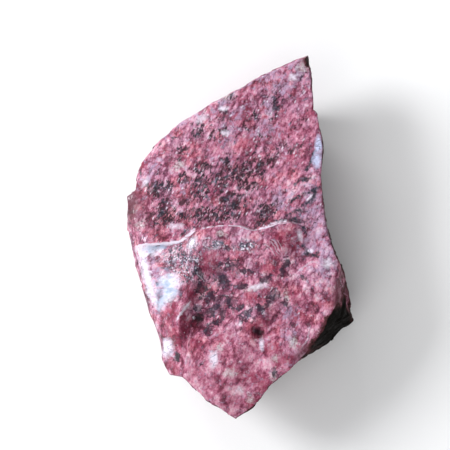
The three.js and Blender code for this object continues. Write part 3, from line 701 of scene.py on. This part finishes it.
# The skin and painted shade, from where it's a thin film to where it's thick.
SKIN_AND_SHADE_STEPS = (0.36, 0.50, 0.64, 0.82)
SKIN_AND_SHADE_TONES = ((124, 74, 86), (92, 50, 56), (52, 34, 34), (17, 14, 12))
SPECK_BLACK = screen(34, 6, 24)
SPECK_TEAL = screen(22, 24, 40)
BLOTCH_BLACK = screen(34, 14, 38)
SLATE = screen(38, 36, 56)
SPECK_WINE = screen(84, 26, 46)
VEIN_BLACK = screen(22, 30, 44)
STAIN_AND_RIM_SHADE = screen(94, 52, 60)
CRIMSON = screen(150, 44, 74)
LILAC = screen(186, 157, 188)
# Also the colour of painted highlights: the lip, edge glints and slivers.
QUARTZ_AND_HIGHLIGHT = screen(232, 222, 238)
CLEAR_WHITE = screen(240, 232, 248)
CLEAR_BLUE = screen(204, 211, 243)
CRACK = screen(104, 104, 134)
# Colours of the painted reflection on the polished flank.
REFLECTION_WHITE = screen(232, 226, 244)
REFLECTION_BLUE = screen(158, 178, 204)
CREAM = screen(212, 202, 206)
PIT_SHADE = screen(34, 16, 28)
# The optical index of each material: the skin throws back less light.
FRESH_REFRACTION = 1.28
SKIN_REFRACTION = 1.12


# ---- Patterns that both materials use ----
def granule_group():
    """Grains packed together: 1 in their middles and 0 in the seams, each one's shade, and its kind."""
    numbers = {"Size": 2.0, "Waviness": 0.4}
    tree, given, result = shader_group("mineral_granules", numbers, results=("Body", "Shade", "Kind"))
    scaled = tree.vector("SCALE", given["Vector"], scale=tree.inverse(given["Size"]))
    ripple = {"Vector": scaled, "Scale": 1.9, "Detail": 3.0, "Roughness": 0.65}
    ripple = tree.add("ShaderNodeTexNoise", ripple).outputs["Color"]
    ripple = tree.vector("SUBTRACT", ripple, (0.5, 0.5, 0.5))
    wavy = tree.vector("ADD", scaled, tree.vector("SCALE", ripple, scale=given["Waviness"]))
    cells = tree.add("ShaderNodeTexVoronoi", {"Vector": wavy, "Scale": 1.0}).outputs
    random = tree.add("ShaderNodeSeparateColor", {"Color": cells["Color"]}).outputs
    tree.link(tree.span(cells["Distance"], 0.15, 0.75, 1.0, 0.0), result["Body"])
    tree.link(random[0], result["Shade"])
    tree.link(random[1], result["Kind"])
    return tree.tree


def speck_group():
    """Mask of ragged specks: Cover is the share of the surface they take."""
    numbers = {"Size": 1.0, "Cover": 0.3, "Softness": 0.1}
    tree, given, result = shader_group("mineral_specks", numbers)
    noise = tree.noise(given["Vector"], given["Size"], 4.0, 0.74, 0.15)
    edge = tree.math("SUBTRACT", 0.70, tree.times(given["Cover"], 0.36))
    above = tree.math("SUBTRACT", noise, edge)
    mask = tree.math("ADD", tree.math("DIVIDE", above, given["Softness"]), 0.5, clamp=True)
    tree.link(mask, result["Mask"])
    return tree.tree


def patch_group():
    """Mask of a mineral patch with a ragged rim, from a mask that is 0.5 on the rim."""
    numbers = {"Patch": 0.0, "Grain size": 1.2, "Raggedness": 0.6, "Softness": 0.2}
    tree, given, result = shader_group("mineral_patch", numbers)
    noise = tree.noise(given["Vector"], given["Grain size"], 4.0, 0.65, 0.4)
    ragged = tree.around(noise, 0.5, tree.times(given["Raggedness"], 4.0))
    inside = tree.math("SUBTRACT", tree.total(given["Patch"], ragged), 0.5)
    mask = tree.math("ADD", tree.math("DIVIDE", inside, given["Softness"]), 0.5, clamp=True)
    tree.link(mask, result["Mask"])
    return tree.tree


def thread_group():
    """Mask of a thin curved line: part of a circle in the broad face, all lengths in mm."""
    numbers = {"Radius": 3.0, "Direction": 0.0, "Half span": 0.6, "Width": 0.3}
    tree, given, result = shader_group("mineral_thread", numbers, ("Vector", "Centre"))
    flat = tree.vector("SUBTRACT", given["Vector"], given["Centre"])
    flat = tree.vector("MULTIPLY", flat, (1, 1, 0))
    far = tree.math("ABSOLUTE", tree.math("SUBTRACT", tree.vector("LENGTH", flat), given["Radius"]))
    line = tree.span(tree.math("DIVIDE", far, given["Width"]), 0.3, 1.0, 1.0, 0.0)
    towards = {"X": tree.math("COSINE", given["Direction"]), "Y": tree.math("SINE", given["Direction"])}
    towards = tree.add("ShaderNodeCombineXYZ", towards).outputs[0]
    lined_up = tree.vector("DOT_PRODUCT", tree.vector("NORMALIZE", flat), towards)
    end = tree.math("COSINE", given["Half span"])
    part = tree.span(lined_up, end, tree.total(end, 0.04))
    tree.link(tree.times(line, part), result["Mask"])
    return tree.tree


# ---- The stone's material ----
class StoneShader(Tree):
    """The stone's minerals. Each lay_ method lays one kind over the others."""

    def __init__(self, tree, groups):
        super().__init__(tree)
        self.groups = groups
        point = self.add("ShaderNodeTexCoord").outputs["Object"]
        self.real_place = self.vector("SCALE", point, scale=1 / MM)
        self.place = self.down_the_flank(self.real_place)
        self.shifted = self.vector("ADD", self.place, (37.0, 11.0, 5.0))
        self.wandered = self.wandering(self.place, 0.45, 3.0, WANDER)
        self.slanted = self.drawn_out(self.place, *FACE_GRAIN)
        self.face = self.mask("broad_face")
        self.lower = self.mask("lower_block")
        self.fineness = self.span(self.mask("low_end"), 0.35, 0.75, 1.0, 0.35)
        self.glossy = self.span(self.mask("polish_and_reflection"), 0.1, 0.6)
        self.fine = self.grains(self.slanted, FINE_GRAIN, 0.7)
        self.round_grains = self.grains(self.drawn_out(self.wandered, *BLOCK_GRAIN), ROUND_GRAIN, 0.8)
        self.hue = self.noise(self.shifted, 6.0, 3.0, 0.6)
        self.lilac = self.patches("lilac", 1.6, 0.8, 0.6)
        self.crimson_and_shade = self.patches("crimson_and_shade", 2.0, 0.5, 0.5)

    def mask(self, name):
        return self.add("ShaderNodeAttribute", attribute_name=name).outputs["Fac"]

    def above_below(self, above, below):
        """One value above the ledge, another on the block below it."""
        return self.span(self.lower, 0, 1, above, below)

    def low_end(self, there, elsewhere):
        """One value at the lower end of the broad face, another elsewhere."""
        return self.span(self.fineness, 0.35, 1, there, elsewhere)

    def down_the_flank(self, place):
        """place, sheared, as the flank cuts the grains along their length."""
        shear = self.vector("MULTIPLY", self.vector("SUBTRACT", place, (-20, 0, 28)), (-0.45, 0, -0.5))
        on_flank = self.span(self.mask("long_grains"), 0.3, 0.7)
        return self.vector("ADD", place, self.vector("SCALE", shear, scale=on_flank))

    def drawn_out(self, place, degrees, stretch):
        """Coordinates in which a pattern is longer along that direction of the broad face."""
        inputs = {"Vector": place, "Rotation": (0, 0, math.radians(degrees)), "Scale": (stretch, 1, 1)}
        return self.add("ShaderNodeMapping", inputs, vector_type="TEXTURE").outputs[0]

    def group(self, name, inputs):
        return self.add("ShaderNodeGroup", inputs, node_tree=self.groups[name]).outputs

    def grains(self, place, size, waviness):
        """The body, shade and kind of the grain at each point."""
        return self.group("granules", {"Vector": place, "Size": size, "Waviness": waviness})

    def specks(self, place, size, cover, softness):
        inputs = {"Vector": place, "Size": size, "Cover": cover, "Softness": softness}
        return self.group("specks", inputs)["Mask"]

    def patches(self, name, grain, ragged, softness):
        """The patches of that mask, with rims as ragged as the grain there."""
        inputs = {"Vector": self.place, "Patch": self.mask(name), "Grain size": grain}
        return self.group("patch", {**inputs, "Raggedness": ragged, "Softness": softness})["Mask"]

    def threads(self):
        lines = []
        shift = WANDER / 2  # how far a pattern that wanders is moved on average
        for x, y, radius, direction, half_span, width in THREADS:
            inputs = {"Vector": self.wandered, "Centre": (x + shift, y + shift, 0)}
            inputs |= {"Radius": radius, "Width": width}
            inputs |= {"Direction": math.radians(direction), "Half span": math.radians(half_span)}
            lines.append(self.group("thread", inputs)["Mask"])
        return self.most(*lines)

    def ramp(self, value, steps, tones):
        node = self.add("ShaderNodeValToRGB", {"Fac": value})
        stops = node.color_ramp.elements
        while len(stops) < len(steps):
            stops.new(0.5)
        for stop, step, colour in zip(stops, steps, tones):
            stop.position = step
            stop.color = screen(*colour)
        return node.outputs[0]

    def blend(self, colour, over, amount):
        return self.add("ShaderNodeMix", {0: amount, 6: colour, 7: over}, data_type="RGBA").outputs[2]

    def lay(self, over, *amounts):
        """Lays a colour over what is there, as thick as the product of the amounts."""
        self.colour = self.blend(self.colour, over, self.times(*amounts))

    def tone(self):
        """How pale the pink is: long slanting grains above the ledge, rounder ones below it."""
        medium = self.grains(self.slanted, MEDIUM_GRAIN, 0.9)
        clouds = self.noise(self.slanted, PINK_CLOUD, 5.0, 0.8, 0.3)
        finest = self.noise(self.place, 0.5, 2.0, 0.6)
        broad = self.noise(self.wandered, 4.2, 3.0, 0.6)
        return self.total(
            self.above_below(0.51, 0.548),
            self.around(clouds, 0.5, self.above_below(0.72, 0.85)),
            self.around(self.fine["Shade"], 0.5, self.times(self.fineness, 0.12)),
            self.around(self.fine["Body"], 0.6, 0.07),
            self.around(finest, 0.5, self.times(self.fineness, 0.15)),
            self.around(broad, 0.5, self.low_end(0.28, 0.0)),
            self.around(medium["Shade"], 0.5, self.above_below(0.055, 0.03)),
            self.around(medium["Body"], 0.6, self.above_below(0.04, 0.02)),
            self.around(self.round_grains["Body"], 0.55, self.above_below(0.0, 0.13)),
            self.around(self.round_grains["Shade"], 0.5, self.above_below(0.02, 0.06)),
            self.times(self.crimson_and_shade, -0.055),
            # paler in the pale patches, which also carry the painted light of the upper-left rim
            self.times(self.patches("pale", 1.8, 0.6, 0.7), 0.09),
            self.times(self.span(self.mask("flank"), 0.4, 0.8), -0.05),
            self.low_end(0.014, 0.0),
        )

    def lay_pinks(self):
        """Warm, cool and ruddy pinks, each in its own clouds."""
        tone = self.tone()
        cool = self.span(self.hue, 0.42, 0.62, 0.0, self.low_end(0.1, 0.6))
        cool = self.total(cool, self.times(self.lilac, 0.7))
        ruddy = self.noise(self.vector("ADD", self.place, (-21.0, 53.0, 17.0)), 5.0, 4.0, 0.6)
        ruddy = self.span(ruddy, 0.48, 0.64, 0.0, 0.75)
        self.colour = self.ramp(tone, PINK_STEPS, WARM_TONES)
        self.lay(self.ramp(tone, PINK_STEPS, COOL_TONES), self.math("MINIMUM", cool, 1.0))
        away_from_lilac = self.span(self.lilac, 0, 1, 1.0, 0.2)
        ruddy_pinks = self.ramp(tone, PINK_STEPS, RUDDY_TONES)
        self.lay(ruddy_pinks, ruddy, away_from_lilac, self.low_end(0.25, 1.0))

    def lay_tinted_patches(self):
        """Crimson, partly painted shade, lilac and cream."""
        deep = self.times(self.crimson_and_shade, self.above_below(0.42, 0.52))
        self.lay(CRIMSON, self.total(deep, self.low_end(0.10, 0.0)))
        self.lay(LILAC, self.specks(self.slanted, 1.6, self.times(self.lilac, 0.6), 0.2), 0.7)
        crackled = self.span(self.noise(self.place, 0.9, 4.0, 0.8), 0.38, 0.56, 0.15, 0.85)
        self.lay(CREAM, self.patches("cream", 1.0, 0.5, 0.6), crackled)

    def lay_black_minerals(self):
        """Ragged specks in clusters, softer blotches, and veins."""
        uneven = self.span(self.fine["Kind"], 0.4, 0.95, 1.0, 0.6)  # each grain has its own darkness
        on_sides = self.span(self.noise(self.shifted, 9.0, 3.0), 0.5, 0.66, 0.0, 0.7)
        cluster = self.most(self.mask("specks"), self.times(on_sides, self.span(self.face, 0, 1, 1, 0)))
        cover = self.span(cluster, 0.05, 0.75, 0.20, 0.66)
        self.speck_cover = self.times(cover, self.above_below(1.0, 0.6), self.low_end(0.3, 1.0))
        self.core = self.times(self.specks(self.slanted, SPECK, self.speck_cover, 0.055), uneven)
        halo = self.specks(self.slanted, SPECK, self.total(self.speck_cover, 0.12), 0.2)
        self.lay(SPECK_WINE, halo, 0.55)
        self.lay(self.blend(SPECK_BLACK, SPECK_TEAL, self.span(self.hue, 0.52, 0.6)), self.core, 0.94)

        self.blotch_cover = self.span(self.patches("blotches", 2.4, 0.5, 1.2), 0.05, 0.85)
        self.blotch = self.specks(self.wandered, BLOTCH, self.blotch_cover, 0.10)
        slate = self.span(self.noise(self.shifted, 3.0, 2.0), 0.50, 0.64)
        self.lay(self.blend(BLOTCH_BLACK, SLATE, slate), self.blotch, uneven, 0.88)
        self.lay(VEIN_BLACK, self.patches("dark_veins", 0.8, 0.62, 0.6), uneven, 0.95)

    def lay_salt_and_pepper(self):
        """Where black, white and green-grey grains are mixed."""
        grains = self.grains(self.real_place, SALT_GRAIN, 0.6)
        clouds = self.noise(self.real_place, 1.8, 4.0, 0.75)
        kind = self.total(0.41, self.around(grains["Kind"], 0.5, 0.5), self.around(clouds, 0.48, 1.3))
        pink_between = self.span(grains["Shade"], 0.66, 0.74, 0.9, 0.3)
        colours = self.ramp(kind, SALT_STEPS, SALT_TONES)
        self.lay(colours, self.patches("salt", 1.8, 0.6, 0.7), pink_between)

    def lay_slivers_and_glints(self):
        """Short white slivers, most of them between the black specks: quartz, and painted glints."""
        slivers = self.grains(self.drawn_out(self.place, *SLIVER_GRAIN), SLIVER, 0.9)
        edge = self.total(1.02, self.times(self.most(self.speck_cover, self.blotch_cover), -0.34))
        sliver = self.span(slivers["Kind"], edge, self.total(edge, 0.06))
        sliver = self.times(sliver, self.span(slivers["Body"], 0.1, 0.9))
        self.lay(QUARTZ_AND_HIGHLIGHT, sliver, self.rest(self.most(self.core, self.blotch)), 0.72)

    def lay_quartz(self):
        """Cloudy white patches, and clear bluish ones with cracks in them, which are partly painted
        reflections.
        """
        on_sides = self.span(self.noise(self.place, 6.5, 4.0, 0.6), 0.64, 0.68)
        on_sides = self.times(on_sides, self.span(self.face, 0, 1, 0.8, 0))
        cloudy = self.span(self.noise(self.place, 1.2, 4.0, 0.7), 0.36, 0.56, 0.45, 0.88)
        self.lay(QUARTZ_AND_HIGHLIGHT, self.most(self.patches("white", 1.4, 0.35, 0.6), on_sides), cloudy)

        clear_and_reflection = self.patches("clear_quartz_and_reflection", 1.5, 0.22, 0.45)
        lengthwise = self.drawn_out(self.place, *CLEAR_GRAIN)
        flawed = self.span(self.noise(lengthwise, 1.6, 4.0, 0.75), 0.34, 0.44, 0.5, 0.95)
        self.lay(self.blend(CLEAR_BLUE, CLEAR_WHITE, self.lower), clear_and_reflection, flawed, 0.95)
        from_crack = self.math("ABSOLUTE", self.math("SUBTRACT", self.noise(lengthwise, 1.9, 2.0), 0.5))
        self.lay(CRACK, clear_and_reflection, self.span(from_crack, 0.008, 0.04, 0.8, 0.0))

    def lay_painted_reflection(self):
        """Painted reflection of the key light: white and bluish patches on the polished flank."""
        grain = self.noise(self.place, 1.9, 4.0, 0.75)
        self.blue_reflection_amount = self.patches("blue_reflection", 1.6, 0.4, 0.8)
        self.lay(REFLECTION_WHITE, self.patches("polish_and_reflection", 2.0, 0.4, 0.5), self.span(grain, 0.34, 0.5, 0.35, 0.92))
        self.lay(REFLECTION_BLUE, self.blue_reflection_amount, self.span(grain, 0.4, 0.6, 0.45, 1.0))

    def lay_lines(self):
        """The pale threads, and the white line on the lip of the ledge, broken here and there: a painted
        highlight that is partly a white fracture line.
        """
        self.thread = self.threads()
        self.lay(QUARTZ_AND_HIGHLIGHT, self.thread, 0.32)
        from_lip = self.total(self.mask("lip_distance"), self.times(self.noise(self.place, 1.5), 0.6))
        lip = self.rest(self.span(self.math("ABSOLUTE", from_lip), 0.14, 0.46))
        unbroken = self.span(self.noise(self.place, 2.2), 0.36, 0.46)
        self.lay(QUARTZ_AND_HIGHLIGHT, lip, self.mask("lip_highlight_runs"), unbroken, 0.9)

    def lay_pits(self):
        """Painted shade in the pits, and painted glints on the edges that catch the light."""
        self.lay(PIT_SHADE, self.patches("pits", 1.0, 0.25, 0.5), 0.92)
        self.lay(QUARTZ_AND_HIGHLIGHT, self.patches("edge_glints", 0.9, 0.35, 0.5), 0.82)

    def lay_skin_and_shade(self):
        """Brown stains, with painted shade on the right rim, and the dark skin with painted shade: a thin
        film over the pink where it begins.
        """
        self.lay(STAIN_AND_RIM_SHADE, self.patches("stains_and_rim_shade", 2.2, 0.35, 1.0), 0.8)
        coarse = self.math("SUBTRACT", self.noise(self.shifted, 5.5, 4.0, 0.6), 0.5)
        fine = self.around(self.noise(self.place, 1.6, 4.0, 0.75), 0.5, 0.8)
        uneven = self.times(self.total(coarse, fine), self.span(self.mask("even_skin_and_shade"), 0, 1, 1.0, 0.85))
        film = self.total(self.mask("skin_and_shade"), uneven)
        self.skin_and_shade = self.span(film, 0.34, 0.50)
        self.lay(self.ramp(film, SKIN_AND_SHADE_STEPS, SKIN_AND_SHADE_TONES), self.skin_and_shade)

    def roughness(self):
        """The flank is the smoothest, and the weathered skin, which is partly painted shade, is dull."""
        return self.total(
            self.span(self.math("SUBTRACT", self.glossy, self.blue_reflection_amount), 0, 1, 0.46, 0.22),
            self.span(self.noise(self.place, 1.1, 3.0, 0.7), 0.35, 0.65, -0.08, 0.12),
            self.times(self.skin_and_shade, 0.2),
        )

    def coat(self):
        """Single bright grains, and the polished flank."""
        sheen = self.times(self.span(self.fine["Shade"], 0.74, 0.86), self.above_below(0.55, 0.25))
        shine = self.times(self.glossy, self.span(self.blue_reflection_amount, 0, 1, 0.40, 0.02))
        return self.times(self.most(shine, sheen), self.rest(self.most(self.skin_and_shade, self.core)))

    def fine_relief(self):
        """Relief too fine for the mesh: each grain stands up from its seams."""
        height = self.total(
            self.times(self.facets(self.place, 0.8), 0.20),
            self.times(self.noise(self.place, 0.9, 4.0, 0.7), 0.26),
            self.times(self.fine["Body"], 0.05),
            self.times(self.round_grains["Body"], self.lower, 0.20),
            self.times(self.thread, 0.08),
            self.times(self.core, -0.04),
        )
        height = self.times(height, self.span(self.glossy, 0, 1, 1.0, 0.25), self.low_end(0.6, 1.0))
        bump = self.add("ShaderNodeBump", {"Height": height, "Distance": 1 * MM, "Strength": 0.8})
        return bump.outputs[0]


def stone_material(name, refraction, groups):
    """The stone's minerals and skin, with painted light and shade."""
    material, shader = new_material(name)
    stone = StoneShader(material.node_tree, groups)
    stone.lay_pinks()
    stone.lay_tinted_patches()
    stone.lay_black_minerals()
    stone.lay_salt_and_pepper()
    stone.lay_slivers_and_glints()
    stone.lay_quartz()
    stone.lay_painted_reflection()
    stone.lay_lines()
    stone.lay_pits()
    stone.lay_skin_and_shade()
    stone.link(stone.colour, shader.inputs["Base Color"])
    stone.link(stone.roughness(), shader.inputs["Roughness"])
    stone.link(stone.coat(), shader.inputs["Coat Weight"])
    stone.link(stone.fine_relief(), shader.inputs["Normal"])
    shader.inputs["IOR"].default_value = refraction
    shader.inputs["Coat Roughness"].default_value = 0.18
    shader.inputs["Coat IOR"].default_value = 1.6
    return material


def face_means(mesh, name):
    """The mean of a mask over the four corners of each face."""
    values = np.empty(len(mesh.vertices), np.float32)
    mesh.attributes[name].data.foreach_get("value", values)
    corners = np.empty(len(mesh.loops), np.int32)
    mesh.loops.foreach_get("vertex_index", corners)
    return values[corners].reshape(-1, 4).mean(axis=1)


def add_stone():
    surface = smooth_form()
    sharpen_ledge(surface)
    add_masks(surface)
    groups = {"specks": speck_group(), "patch": patch_group()}
    groups |= {"granules": granule_group(), "thread": thread_group()}
    fresh = stone_material("rose_rhyolite", FRESH_REFRACTION, groups)
    skin = stone_material("weathered_skin_and_shade", SKIN_REFRACTION, groups)
    mesh = with_relief(surface, fresh)
    mesh.materials.append(skin)
    mesh.polygons.foreach_set("material_index", (face_means(mesh, "skin_and_shade") > 0.5).astype(np.int32))
    stone = linked(bpy.data.objects.new("stone", mesh))
    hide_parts(NODE)
    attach(stone, "root")


add_camera()
add_studio()
add_floor()
add_stone()
